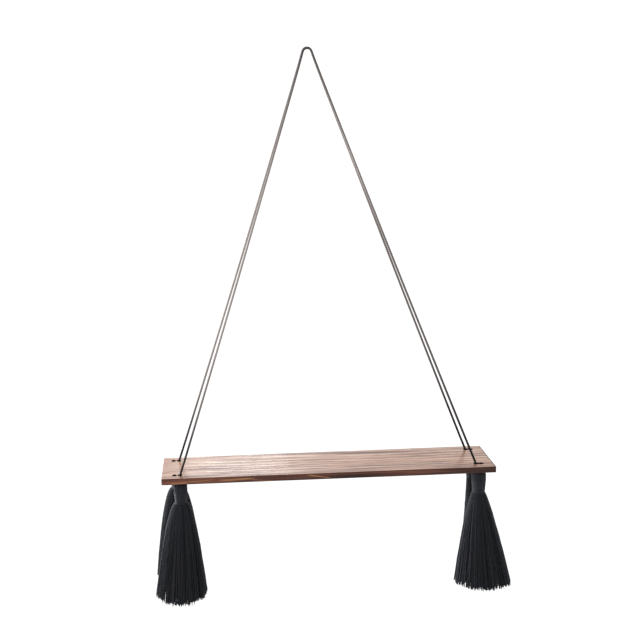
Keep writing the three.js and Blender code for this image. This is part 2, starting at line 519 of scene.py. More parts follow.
@dataclass(frozen=True)
class PliedYarn:
    """Dyed yarn of twisted plies: lay winds them, and tone tells strands apart and on a rope sets its
    painted light.
    """

    name: str
    dark: Colour
    light: Colour
    plies: int = 3
    pitch: float = 0.006
    roughness: float = 0.82
    sheen: float = 0.22
    sheen_tint: Colour = (0.86, 0.90, 1.0)
    relief: float = 0.25 * MM
    lint_lumps: Point = (900.0, 900.0, 260.0)
    painted_light_colour: Colour | None = None

    def material(self) -> bpy.types.Material:
        """Makes the finish from the mesh's tone and lay.

        Returns:
            The material.
        """
        graph = Graph(self.name)
        tone = Value(graph, graph.own("tone").outputs["Fac"])
        cosine, sine, along = graph.parts(graph.own("lay").outputs["Vector"])
        around = graph.math("ARCTAN2", sine, cosine)
        wound = around * self.plies + along * (TURN / self.pitch)
        ridge = graph.math("COSINE", wound) * 0.5 + 0.5
        lint = graph.noise(graph.place(), self.lint_lumps)
        # painted shade: the ply crests are coloured lighter and the grooves between plies darker
        shade = tone * 0.55 + ridge * 0.25 + lint * 0.3
        dye = graph.mix(self.dark, self.light, graph.between(shade, 0.1, 1.0))
        # painted light: a pale colour mixed in by the rope's tone, more on the ply crests, for the light
        # on its upper stretches
        if self.painted_light_colour:
            dye = graph.mix(dye, self.painted_light_colour, tone * (0.6 + ridge * 0.4))
        return graph.finish(
            {
                "Base Color": dye,
                "Roughness": self.roughness,
                "Normal": graph.bump(ridge, self.relief, 0.7),
                "IOR": 1.45,
                "Specular IOR Level": 0.18,
                "Sheen Weight": self.sheen,
                "Sheen Roughness": 0.42,
                "Sheen Tint": (*self.sheen_tint, 1),
            }
        )


@dataclass(frozen=True)
class StudioWhite:
    """The white paper of floor and backdrop, lit from behind, most over the picture's upper edge."""

    paper: Colour = (0.06, 0.06, 0.06)
    front: float = 0.46
    back: float = 1.04
    window: float = 2.10

    def material(self) -> bpy.types.Material:
        """Makes the finish, with a light of its own.

        Returns:
            The material.
        """
        graph = Graph("studio_white")
        x, y, z = graph.parts(graph.place())
        behind = graph.between(y, -2.2, 0.6)
        window = graph.between(z, 0.55, 1.2) * graph.between(y, 1.0, 4.0)
        window = window * (1 - graph.between(x, -0.2, 2.0) * 0.55)
        window = window * (0.2 + graph.between(x, -1.0, -0.1) * 0.8)
        glow = graph.mix((self.front,) * 3, (self.back,) * 3, behind)
        glow = graph.mix(glow, (self.window,) * 3, window)
        return graph.finish(
            {
                "Base Color": (*self.paper, 1),
                "Roughness": 0.95,
                "Emission Color": glow,
                "Emission Strength": 1.0,
            }
        )


def lengths(vectors: np.ndarray) -> np.ndarray:
    """The lengths of vectors, with their last axis kept."""
    return np.linalg.norm(vectors, axis=-1, keepdims=True)


def unit(vectors: np.ndarray) -> np.ndarray:
    """Vectors scaled to a length of 1."""
    return vectors / np.maximum(lengths(vectors), 1e-12)


def scatter(seed: float, index: float) -> float:
    """An even spread of values from 0 to 1, the same on every run."""
    value = math.sin(seed * 12.9898 + index * 78.233) * 43758.5453
    return value - math.floor(value)


def linked(made: bpy.types.Object) -> bpy.types.Object:
    """Puts an object in the scene and gives it back."""
    bpy.context.scene.collection.objects.link(made)
    return made


def meshed(shape: bmesh.types.BMesh, name: str) -> bpy.types.Mesh:
    """Turns a shape into a mesh and frees it.

    Args:
        shape: the shape.
        name: the mesh's name.

    Returns:
        The mesh.
    """
    mesh = bpy.data.meshes.new(name)
    shape.to_mesh(mesh)
    shape.free()
    return mesh


@dataclass
class Strands:
    """Tubes of yarn or cord that are gathered into one mesh."""

    points: list[np.ndarray] = field(default_factory=list)
    normals: list[np.ndarray] = field(default_factory=list)
    faces: list[list[int]] = field(default_factory=list)
    tones: list[np.ndarray] = field(default_factory=list)
    lays: list[np.ndarray] = field(default_factory=list)
    count: int = 0

    PLY_START: ClassVar[float] = 3.7 * MM

    def add(
        self,
        lines: np.ndarray,
        radii: np.ndarray,
        across: np.ndarray,
        sides: int,
        tone: np.ndarray,
        outward: np.ndarray | None = None,
        softness: float = 0.0,
    ) -> None:
        """Adds closed tubes.

        Args:
            lines: their centre lines, an array of tube, step and XYZ.
            radii: the radius at each step of each tube, or of each step and side.
            across: a direction across the lines, one for all or an array of them.
            sides: how many sides a section has.
            tone: the shade of each tube, or of each of its steps, from 0 to 1; on a rope it is the share
                of painted light.
            outward: the normal of the bundle's own surface at each step.
            softness: how far the tubes' normals turn to the bundle's.
        """
        tubes, steps = lines.shape[:2]
        ahead = unit(np.gradient(lines, axis=1))
        side = unit(across - (across * ahead).sum(-1, keepdims=True) * ahead)
        other = np.cross(ahead, side)
        angle = np.arange(sides) * TURN / sides
        swing = np.cos(angle)[:, None] * side[:, :, None, :]
        swing = swing + np.sin(angle)[:, None] * other[:, :, None, :]
        reach = radii if radii.ndim == 3 else radii[:, :, None]
        rings = lines[:, :, None, :] + reach[..., None] * swing
        normal = swing
        if outward is not None:
            normal = unit((1 - softness) * swing + softness * outward[:, :, None, :])
        gone = np.cumsum(lengths(np.diff(lines, axis=1))[..., 0], 1)
        run = np.concatenate([np.zeros((tubes, 1)), gone], 1)
        lay = np.empty((tubes, steps, sides, 3))
        lay[..., 0] = np.cos(angle)
        lay[..., 1] = np.sin(angle)
        lay[..., 2] = run[:, :, None] + (np.arange(tubes) * self.PLY_START)[:, None, None]
        self.points.append(rings.reshape(-1, 3))
        self.normals.append(normal.reshape(-1, 3))
        self.lays.append(lay.reshape(-1, 3))
        shades = np.broadcast_to(tone.reshape(tubes, -1), (tubes, steps))
        self.tones.append(np.repeat(shades.ravel(), sides))
        self.faces += self.tube_faces(tubes, steps, sides)
        self.count += tubes * steps * sides

    def tube_faces(self, tubes: int, steps: int, sides: int) -> list[list[int]]:
        """The faces of tubes whose points are numbered from count on.

        Args:
            tubes: how many tubes there are.
            steps: how many steps each has.
            sides: how many sides a section has.

        Returns:
            The walls and the two caps of each, as point numbers.
        """
        number = self.count + np.arange(tubes * steps * sides).reshape(tubes, steps, sides)
        after = np.roll(number, -1, axis=2)
        walls = np.stack([number[:, :-1], after[:, :-1], after[:, 1:], number[:, 1:]], -1)
        return walls.reshape(-1, 4).tolist() + number[:, 0, ::-1].tolist() + number[:, -1].tolist()

    def piece(self, name: str, slot: Slot, finish: bpy.types.Material) -> bpy.types.Object:
        """Makes the mesh as a piece that rides on the shelf.

        Args:
            name: the piece's name.
            slot: the record's material slot.
            finish: its material.

        Returns:
            The piece.
        """
        mesh = bpy.data.meshes.new(name)
        mesh.from_pydata(np.concatenate(self.points).tolist(), [], self.faces)
        mesh.shade_smooth()
        tones = np.concatenate(self.tones)
        lays = np.concatenate(self.lays).ravel()
        mesh.attributes.new("tone", "FLOAT", "POINT").data.foreach_set("value", tones)
        mesh.attributes.new("lay", "FLOAT_VECTOR", "POINT").data.foreach_set("vector", lays)
        mesh.normals_split_custom_set_from_vertices(np.concatenate(self.normals).tolist())
        mesh.materials.append(finish)
        return mounted(mesh, slot)


def mounted(mesh: bpy.types.Mesh, slot: Slot) -> bpy.types.Object:
    """Puts a finished mesh in the scene as a piece of the shelf.

    Args:
        mesh: the mesh, which gives the piece its name.
        slot: the record's material slot.

    Returns:
        The piece.
    """
    piece = linked(bpy.data.objects.new(mesh.name, mesh))
    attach(piece, BODY)
    LOG.info("%s: %d vertices, slot %s", piece.name, len(mesh.vertices), slot.value)
    return piece


@dataclass(frozen=True)
class PhotoCamera:
    """The camera, at the photograph's place and angle."""

    place: Point = (-0.16877, -1.55988, -0.09928)
    yaw: float = -1.317
    pitch: float = -10.751
    roll: float = -2.781
    focal_px: float = 870.75
    right_px: float = -120.0
    down_px: float = -39.5
    frame_px: float = 640.0
    sensor: float = 36.0

    def axes(self) -> Matrix:
        """The camera's axes.

        Returns:
            Its right, up and back, as a matrix's columns.
        """
        yaw, pitch, roll = (math.radians(a) for a in (self.yaw, self.pitch, self.roll))
        flat = math.cos(pitch)
        ahead = Vector((math.sin(yaw) * flat, math.cos(yaw) * flat, math.sin(pitch)))
        level = Vector((math.cos(yaw), -math.sin(yaw), 0))
        above = level.cross(ahead)
        right = math.cos(roll) * level + math.sin(roll) * above
        up = math.cos(roll) * above - math.sin(roll) * level
        return Matrix((right, up, -ahead)).transposed()

    def build(self) -> bpy.types.Object:
        """Makes the camera and gives it to the scene.

        Returns:
            The camera.
        """
        lens = bpy.data.cameras.new("photo_camera")
        lens.sensor_width = self.sensor
        lens.lens = self.focal_px / self.frame_px * self.sensor
        lens.shift_x = -self.right_px / self.frame_px
        lens.shift_y = self.down_px / self.frame_px
        lens.clip_start = 0.05
        lens.clip_end = 50.0
        camera = linked(bpy.data.objects.new("photo_camera", lens))
        camera.matrix_world = Matrix.Translation(self.place) @ self.axes().to_4x4()
        bpy.context.scene.camera = camera
        return camera


@dataclass(frozen=True)
class Softbox:
    """One soft studio light. It points from its place to its aim."""

    name: str
    place: Point
    aim: Point
    size: tuple[float, float]
    watts: float

    def build(self) -> bpy.types.Object:
        """Makes the light, unseen by the camera itself.

        Returns:
            The light.
        """
        lamp = bpy.data.lights.new(self.name, "AREA")
        lamp.shape = "RECTANGLE"
        lamp.size, lamp.size_y = self.size
        lamp.energy = self.watts
        light = linked(bpy.data.objects.new(self.name, lamp))
        light.location = self.place
        light.rotation_mode = "QUATERNION"
        light.rotation_quaternion = (Vector(self.aim) - Vector(self.place)).to_track_quat("-Z", "Y")
        light.visible_camera = False
        return light


@dataclass
class Studio:
    """The pale floor, which curves up into a backdrop all round, and the soft lights."""

    floor: float = -2.3
    radius: float = 5.5
    curve: float = 1.8
    top: float = 3.2
    segments: int = 72
    curve_steps: int = 12
    daylight: float = 0.8
    lights: tuple[Softbox, ...] = (
        Softbox("left_light", (-2.6, -1.8, 0.3), (-0.1, 0.0, -0.8), (1.2, 1.6), 29.0),
        Softbox("glare_light", (-0.13, 2.6, 0.40), (-0.13, 0.0, -0.74), (0.46, 0.8), 4.6),
        Softbox("rim_light", (-1.5, 0.9, -0.7), (0.0, 0.0, -0.85), (0.5, 1.0), 55.0),
    )

    def profile(self) -> list[tuple[float, float]]:
        """The backdrop's half section.

        Returns:
            Its points from the floor's middle to the wall's top, as radius and height.
        """
        rows = [(0.0, self.floor)]
        for i in range(self.curve_steps + 1):
            angle = i / self.curve_steps * math.pi / 2
            rows.append(
                (
                    self.radius - self.curve + self.curve * math.sin(angle),
                    self.floor + self.curve - self.curve * math.cos(angle),
                )
            )
        rows.append((self.radius, self.top))
        return rows

    def build(self) -> None:
        """Makes the backdrop, the daylight and the lights."""
        shape = bmesh.new()
        knots = [shape.verts.new((r, 0, z)) for r, z in self.profile()]
        edges = [shape.edges.new(pair) for pair in zip(knots, knots[1:])]
        bmesh.ops.spin(
            shape, geom=knots + edges, axis=(0, 0, 1), cent=(0, 0, 0), angle=TURN, steps=self.segments
        )
        bmesh.ops.remove_doubles(shape, verts=shape.verts, dist=1e-4)
        bmesh.ops.recalc_face_normals(shape, faces=shape.faces)
        bmesh.ops.reverse_faces(shape, faces=shape.faces)
        mesh = meshed(shape, "backdrop")
        mesh.shade_smooth()
        mesh.materials.append(StudioWhite().material())
        linked(bpy.data.objects.new("backdrop", mesh))
        world = bpy.data.worlds.new("daylight")
        world.use_nodes = True
        sky = world.node_tree.nodes["Background"].inputs
        sky["Color"].default_value = (1, 1, 1, 1)
        sky["Strength"].default_value = self.daylight
        bpy.context.scene.world = world
        bpy.context.scene.view_settings.view_transform = "Standard"
        for light in self.lights:
            light.build()


@dataclass(frozen=True)
class Board:
    """The plank's place and holes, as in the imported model. The ropes and the tassels share them."""

    low: Vector
    high: Vector
    hole_radius: float = 4 * MM
    hole_out: float = 267.5 * MM
    hole_from_middle: float = 34 * MM
    apart_left: float = 10 * MM
    apart_right: float = 9 * MM

    @property
    def middle(self) -> Vector:
        """The middle of the plank."""
        return (self.low + self.high) / 2

    def row(self, back: bool) -> float:
        """The Y of the front or the back row of holes."""
        return self.middle.y + (self.hole_from_middle if back else -self.hole_from_middle)


@dataclass(frozen=True)
class Route:
    """A rope's route: half of it from a hole to the top of the bend, and what sets each rope apart.

    out is the distance from the rope's middle and up the height over the hanging point.
    """

    name: str
    back: bool
    lane: float
    shift_x: float
    shift_up: float
    left_off: float
    right_off: float

    HALF: ClassVar[tuple[tuple[float, float], ...]] = (
        (269.0, -752.0),
        (268.1, -746.5),
        (267.0, -741.6),
        (265.9, -736.8),
        (263.5, -729.9),
        (256.2, -710.1),
        (204.0, -563.8),
        (137.4, -375.1),
        (71.8, -186.4),
        (16.6, -25.9),
        (9.8, -5.2),
        (7.3, 2.2),
        (5.5, 5.0),
        (2.9, 6.7),
        (0.0, 7.2),
    )

    def off(self, end: End) -> float:
        """How far right of their marked place the holes of an end are drilled."""
        return self.left_off if end is End.LEFT else self.right_off

    def point(self, board: Board, end: End, out: float, up: float) -> Point:
        """A point of the route, which moves from its holes and row to the support and its lane.

        Args:
            board: the plank.
            end: the plank's end on that side.
            out: the distance from the rope's middle, in millimetres.
            up: the height over the hanging point.

        Returns:
            The point's place.
        """
        drop = -board.high.z
        rise = min(max((up * MM + drop) / drop, 0.0), 1.0)
        x = (1 - rise) * (board.middle.x + self.off(end)) + rise * self.shift_x
        y = (1 - rise) * board.row(self.back) + rise * self.lane
        return (x + end.value * out * MM, y, up * MM + self.shift_up * rise)

    def points(self, board: Board) -> np.ndarray:
        """All the route's points.

        Args:
            board: the plank.

        Returns:
            The points, from the left foot over the bend to the right foot.
        """
        left = [self.point(board, End.LEFT, *row) for row in self.HALF]
        right = [self.point(board, End.RIGHT, *row) for row in self.HALF[:-1]]
        return np.array(left + right[::-1])


ROUTES = (
    Route("rope_front", False, -2.15 * MM, -0.1 * MM, -1.6 * MM, 1.0 * MM, 1.2 * MM),
    Route("rope_back", True, 2.15 * MM, -0.1 * MM, -0.7 * MM, -3.3 * MM, 1.2 * MM),
)


@dataclass
class Rope:
    """A rope of three yarns laid together, from one tassel over the hanging point to the other."""

    route: Route
    board: Board
    diameter: float = 4 * MM
    pitch: float = 12 * MM
    strands: int = 3
    sides_each: int = 6
    groove: float = 0.20
    fluff: float = 1.05
    step: float = 0.95 * MM
    span_points: int = 200
    top_blend: float = 30 * MM

    # heights, with the share of painted light on the left and the right half
    PAINTED_LIGHT: ClassVar[tuple[tuple[float, float, float], ...]] = (
        (-0.74, 0.02, 0.00),
        (-0.70, 0.06, 0.01),
        (-0.66, 0.26, 0.05),
        (-0.62, 0.54, 0.16),
        (-0.50, 0.92, 0.38),
        (-0.37, 0.88, 0.42),
        (-0.27, 0.94, 0.56),
        (-0.19, 0.76, 0.70),
        (-0.05, 0.40, 0.32),
        (0.01, 0.16, 0.20),
    )

    def tones(self, line: np.ndarray) -> np.ndarray:
        """How much painted light the rope takes, most on its upper left. The table's rows are a height,
        the left half and the right half.

        Args:
            line: the centre line.

        Returns:
            The share of painted light at each of its points, from 0 to 1.
        """
        height, left, right = np.array(self.PAINTED_LIGHT).T
        on_left = np.clip(0.5 - line[:, 0] / self.top_blend, 0, 1)
        at_left = np.interp(line[:, 2], height, left)
        at_right = np.interp(line[:, 2], height, right)
        return at_left * on_left + at_right * (1 - on_left)

    def line(self) -> np.ndarray:
        """The centre line, with even steps along a smooth curve through the route's points.

        Returns:
            Its points.
        """
        knots = self.route.points(self.board)
        knots = np.concatenate([[2 * knots[0] - knots[1]], knots, [2 * knots[-1] - knots[-2]]])
        share = (np.arange(self.span_points) / self.span_points)[:, None]
        spans = [self.span(*knots[i : i + 4], share) for i in range(len(knots) - 3)]
        fine = np.concatenate([*spans, knots[-2:-1]])
        run = np.concatenate([[0.0], np.cumsum(lengths(np.diff(fine, axis=0))[:, 0])])
        even = np.linspace(0, run[-1], round(run[-1] / self.step) + 1)
        return np.stack([np.interp(even, run, fine[:, i]) for i in range(3)], axis=1)

    @staticmethod
    def span(
        before: np.ndarray, start: np.ndarray, end: np.ndarray, after: np.ndarray, share: np.ndarray
    ) -> np.ndarray:
        """A stretch of a centripetal curve.

        Args:
            before: the point before the stretch.
            start: its first point.
            end: its last point.
            after: the point after it.
            share: how far along the stretch each wanted point is, from 0 to 1.

        Returns:
            The points at those shares.
        """
        pairs = ((before, start), (start, end), (end, after))
        d0, d1, d2 = (math.sqrt(float(np.linalg.norm(b - a))) for a, b in pairs)
        leave = ((start - before) / d0 - (end - before) / (d0 + d1) + (end - start) / d1) * d1
        reach = ((end - start) / d1 - (after - start) / (d1 + d2) + (after - end) / d2) * d1
        square, cube = share**2, share**3
        return (
            (2 * cube - 3 * square + 1) * start
            + (cube - 2 * square + share) * leave
            + (3 * square - 2 * cube) * end
            + (cube - square) * reach
        )

    def section(self, angle: np.ndarray) -> np.ndarray:
        """The rope's radius at angles round it: full over each yarn and grooved between two."""
        dip = 1 - np.abs(np.cos(self.strands / 2 * angle))
        return self.diameter / 2 * self.fluff * (1 - self.groove * dip)

    def build(self, finish: bpy.types.Material) -> bpy.types.Object:
        """Args:
            finish: the rope's material.

        Returns:
            The piece.
        """
        line = self.line()
        steps = len(line)
        sides = self.strands * self.sides_each
        run = np.arange(steps) * self.step
        around = np.arange(sides) * TURN / sides
        twist = run[:, None] * (TURN / self.pitch)
        radii = self.section(around[None, :] + twist)
        rope = Strands()
        rope.add(line[None], radii[None], ALONG_Y, sides, self.tones(line))
        piece = rope.piece(f"twisted_{self.route.name}", Slot.ROPE, finish)
        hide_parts(self.route.name)
        return piece


@dataclass
class Plank:
    """The board, with eased edges that wear has left a little uneven, and four pairs of drilled holes
    with broken rims.
    """

    board: Board
    ease: float = 1.2 * MM
    ease_steps: int = 5
    rim: float = 0.5 * MM
    hole_sides: int = 40
    slices: int = 60
    wear: float = 0.22 * MM
    slow_wave: Point = (31.0, 9.0, 0.0)
    quick_wave: Point = (83.0, 0.0, 700.0)
    drill_past: float = 2 * MM

    def holes(self) -> list[tuple[float, float]]:
        """The drilled holes.

        Returns:
            The middle of each, as X and Y.
        """
        found = []
        for route in ROUTES:
            for end, apart in ((End.LEFT, self.board.apart_left), (End.RIGHT, self.board.apart_right)):
                for out in (self.board.hole_out, self.board.hole_out + apart):
                    x = self.board.middle.x + route.off(end) + end.value * out
                    found.append((x, self.board.row(route.back)))
        return found

    def webs(self, end: End) -> tuple[tuple[float, float], ...]:
        """The wood between the two holes of each pair at an end.

        Args:
            end: the end.

        Returns:
            The middle of each, as X and Y.
        """
        pairs = zip(self.holes()[::2], self.holes()[1::2])
        found = [((a[0] + b[0]) / 2, a[1]) for a, b in pairs]
        middle = self.board.middle.x
        return tuple(place for place in found if (place[0] > middle) == (end is End.RIGHT))

    def blank(self) -> bmesh.types.BMesh:
        """The board before drilling: a box with round edges, in slices whose edges waver a little.

        Returns:
            Its shape.
        """
        shape = bmesh.new()
        bmesh.ops.create_cube(shape, size=1)
        size = self.board.high - self.board.low
        whole = Matrix.Translation(self.board.middle) @ Matrix.Diagonal((*size, 1))
        bmesh.ops.transform(shape, matrix=whole, verts=shape.verts)
        edges = shape.edges[:]
        bmesh.ops.bevel(
            shape, geom=edges, offset=self.ease, segments=self.ease_steps, profile=0.5, affect="EDGES"
        )
        for i in range(1, self.slices):
            at = self.board.low.x + size.x * i / self.slices
            geom = shape.verts[:] + shape.edges[:] + shape.faces[:]
            bmesh.ops.bisect_plane(shape, geom=geom, plane_co=(at, 0, 0), plane_no=(1, 0, 0))
        for vert in shape.verts:
            vert.co += self.waver(vert.co)
        return shape

    def waver(self, place: Vector) -> Vector:
        """How far the hand planing moves a point: never out of the board's box.

        Args:
            place: the point.

        Returns:
            The move.
        """
        slow, quick = (
            0.5 + 0.5 * math.sin(place.dot(Vector(wave))) for wave in (self.slow_wave, self.quick_wave)
        )
        inward = self.wear * (0.65 * slow + 0.35 * quick)
        middle = self.board.middle
        in_y = math.copysign(inward, middle.y - place.y)
        in_z = math.copysign(0.3 * inward, middle.z - place.z)
        return Vector((0, in_y, in_z))

    def cutter(self) -> bpy.types.Object:
        """The drills for all the holes: cylinders that widen at both faces of the board.

        Returns:
            One object of them all.
        """
        shape = bmesh.new()
        top, foot, rim = self.board.high.z, self.board.low.z, self.rim
        radius, far = self.board.hole_radius, self.drill_past
        profile = [
            (radius + rim + far, top + far),
            (radius + rim, top),
            (radius, top - rim),
            (radius, foot + rim),
            (radius + rim, foot),
            (radius + rim + far, foot - far),
        ]
        angles = [TURN * i / self.hole_sides for i in range(self.hole_sides)]
        for x, y in self.holes():
            rings = []
            for r, z in profile:
                circle = [(x + r * math.cos(a), y + r * math.sin(a), z) for a in angles]
                rings.append([shape.verts.new(place) for place in circle])
            for upper, lower in zip(rings, rings[1:]):
                for i in range(self.hole_sides):
                    j = (i + 1) % self.hole_sides
                    shape.faces.new((upper[i], lower[i], lower[j], upper[j]))
            shape.faces.new(rings[0])
            shape.faces.new(rings[-1][::-1])
        return linked(bpy.data.objects.new("drills", meshed(shape, "drills")))

    def build(self, finish: bpy.types.Material, bore: bpy.types.Material) -> bpy.types.Object:
        """Makes the board.

        Args:
            finish: the material of its outside.
            bore: the material inside its holes.

        Returns:
            The piece.
        """
        blank = linked(bpy.data.objects.new("blank", meshed(self.blank(), "blank")))
        blank.data.materials.append(finish)
        drills = self.cutter()
        drills.data.materials.append(bore)
        drill = blank.modifiers.new("drill", "BOOLEAN")
        drill.operation = "DIFFERENCE"
        drill.solver = "EXACT"
        drill.material_mode = "TRANSFER"
        drill.use_self = True
        drill.object = drills
        even = blank.modifiers.new("even", "WEIGHTED_NORMAL")
        even.weight = 100
        blank.data.shade_smooth()
        view = bpy.context.evaluated_depsgraph_get()
        mesh = bpy.data.meshes.new_from_object(blank.evaluated_get(view))
        mesh.name = "stained_plank"
        bpy.data.objects.remove(blank)
        bpy.data.objects.remove(drills)
        piece = mounted(mesh, Slot.WOOD)
        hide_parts("plank")
        return piece


@dataclass(frozen=True)
class TasselSizes:
    """One tassel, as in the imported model. Lengths are in millimetres.

    x is the place from the plank's middle, head is the head's radius, length reaches from the
    underside to the ends, spread is the skirt's radius there and a flare under 1 opens it early.
    The lean moves the ends, the skirt presses flat at its front and back reach, and trim is how much
    shorter its front yarns are cut.
    """

    name: str
    back: bool
    x: float
    head: float
    length: float
    spread: float
    flare: float
    lean_x: float
    lean_y: float
    front_reach: float
    back_reach: float
    seed: int
    trim: float = 0.0


FREE = 1000.0
MIDDLE_REACH = 33.0
WALL_REACH = 15.5
TASSELS = (
    TasselSizes("left_front", False, -267, 12.8, 221, 48.5, 0.55, -8, -1, FREE, MIDDLE_REACH, 3),
    TasselSizes("left_back", True, -276.5, 12.5, 221, 45, 0.47, -3.5, 0, MIDDLE_REACH, WALL_REACH, 5),
    TasselSizes("right_front", False, 273.5, 12.8, 220, 50.5, 0.77, 7.5, -1, FREE, MIDDLE_REACH, 8, 8.0),
    TasselSizes("right_back", True, 279, 10, 214, 22, 1.2, 5, 0, MIDDLE_REACH, WALL_REACH, 13),
)


@dataclass(frozen=True)
class LockRing:
    """A ring of locks: their number, their place out from the axis, their depth and their yarns."""

    count: int
    across: float
    thick: float
    yarns: int


RINGS = (LockRing(30, 1.0, 0.115, 27), LockRing(18, 0.63, 0.125, 14), LockRing(8, 0.27, 0.125, 10))


@dataclass
class Tassel:
    """A tassel: yarns folded over its head, the wound binding and the skirt of loose yarns.

    Lengths are in millimetres. Depths are measured down from the plank's underside: the shoulder rounds
    the head, the binding reaches from the barrel to the lip and the skirt starts at the root.
    """

    sizes: TasselSizes
    board: Board
    crown: float = 5.5
    shoulder: float = 7.5
    barrel: float = 18.0
    lip: float = 44.0
    root: float = 47.0
    tucked: float = 3.0
    pull: float = 2.0
    root_inset: float = 0.4
    yarn: float = 0.58
    sides: int = 4
    steps: int = 17
    head_yarns: int = 38
    shoulder_steps: int = 10
    head_fullness: float = 1.12
    head_vary: float = 0.12
    turns: int = 17
    length_vary: float = 3.0
    turn_vary: float = 0.06
    ragged: tuple[float, float] = (-4.5, 2.0)
    gather: float = 0.08
    side_sway: float = 2.3
    deep_sway: float = 1.6
    crimp: float = 0.28
    crimps: tuple[float, float] = (22.0, 19.0)
    softness: float = 0.45
    stray: int = 60
    stray_steps: int = 9
    stray_radius: float = 0.13
    binding_steps: int = 40

    @property
    def top(self) -> np.ndarray:
        """The middle of the head's top, on the plank's underside, in metres."""
        x = self.board.middle.x + self.sizes.x * MM
        return np.array([x, self.board.row(self.sizes.back), self.board.low.z])

    @property
    def neck(self) -> float:
        """The head's radius at the binding's foot."""
        return self.sizes.head - self.pull

    def hung(self, lines: np.ndarray) -> np.ndarray:
        """Lines in millimetres from the head's top, as places in the model's frame."""
        return self.top + lines * MM

    def skirt_radius(self, t: np.ndarray) -> np.ndarray:
        """The skirt's radius at a share t of the way from the roots to the ends."""
        root = self.neck - self.root_inset
        return root + (self.sizes.spread - root) * np.maximum(t, 0) ** self.sizes.flare

    def settle(self, t: np.ndarray, x: np.ndarray, y: np.ndarray) -> tuple[np.ndarray, np.ndarray]:
        """Presses the skirt to its reach and gives it its lean.

        Args:
            t: the share of the way from the roots to the ends.
            x: the place across, in millimetres.
            y: the place in depth.

        Returns:
            The settled x and y.
        """
        reach = np.where(y > 0, self.sizes.back_reach, self.sizes.front_reach)
        pressed = y * np.minimum(1, reach / self.skirt_radius(t))
        return x + self.sizes.lean_x * t, pressed + self.sizes.lean_y * t

    def outward(self, t: np.ndarray, lines: np.ndarray) -> np.ndarray:
        """The normal of the skirt's own surface beside points of its yarns.

        Args:
            t: the share of the way down, for each step.
            lines: the yarns' lines, in millimetres.

        Returns:
            The normals.
        """
        wide = self.skirt_radius(t)
        reach = np.where(lines[..., 1] > 0, self.sizes.back_reach, self.sizes.front_reach)
        deep = np.minimum(wide, reach)
        x = (lines[..., 0] - self.sizes.lean_x * t) / wide**2
        y = (lines[..., 1] - self.sizes.lean_y * t) / deep**2
        return unit(np.stack([x, y, np.zeros_like(x)], -1))

    def yarn_places(self, ring: LockRing, draw: np.random.Generator) -> np.ndarray:
        """The places of a lock's yarns in its section.

        Args:
            ring: the lock's ring.
            draw: the random draws.

        Returns:
            Each yarn's place across and through the lock, from about -1 to 1.
        """
        columns = max(2, round(math.sqrt(ring.yarns * 1.8)))
        rows = math.ceil(ring.yarns / columns)
        places = []
        for i in range(ring.yarns):
            across = (i % columns + 0.5) / columns * 2 - 1
            through = (i // columns + 0.5) / rows * 2 - 1
            places.append((across, through))
        jitter = draw.uniform(-0.5, 0.5, (ring.yarns, 2)) * (2 / columns, 2 / rows)
        return np.array(places) + jitter

    def sway(
        self, t: np.ndarray, yarns: int, draw: np.random.Generator
    ) -> tuple[np.ndarray, np.ndarray]:
        """How far a lock's yarns stray and crimp off their places.

        Args:
            t: the share of the way down, for each step.
            yarns: how many yarns the lock has.
            draw: the random draws.

        Returns:
            The moves along the lock's width and through its depth.
        """
        phase = draw.uniform(0, TURN, (yarns, 4))
        waves = draw.uniform(0.8, 1.6, (yarns, 2))
        stray = draw.normal(0, 1.0, (yarns, 2))
        moves = []
        for i, reach in enumerate((self.side_sway, self.deep_sway)):
            turns = phase[:, i : i + 1] + self.crimps[i] * waves[:, i : i + 1] * t
            moves.append(stray[:, i : i + 1] * reach * t**1.5 + self.crimp * t**0.5 * np.sin(turns))
        return moves[0], moves[1]

    def skirt(self, finish: bpy.types.Material) -> bpy.types.Object:
        """Makes the skirt of loose yarns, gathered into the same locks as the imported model's.

        Args:
            finish: the yarn's material.

        Returns:
            The piece.
        """
        draw = np.random.default_rng(self.sizes.seed)
        bundle = Strands()
        for ring in RINGS:
            seed = self.sizes.seed + ring.count
            for index in range(ring.count):
                self.add_lock(bundle, ring, index, seed, draw)
        self.add_strays(bundle, draw)
        piece = bundle.piece(f"skirt_{self.sizes.name}", Slot.YARN, finish)
        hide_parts(f"tassel_{self.sizes.name}")
        return piece

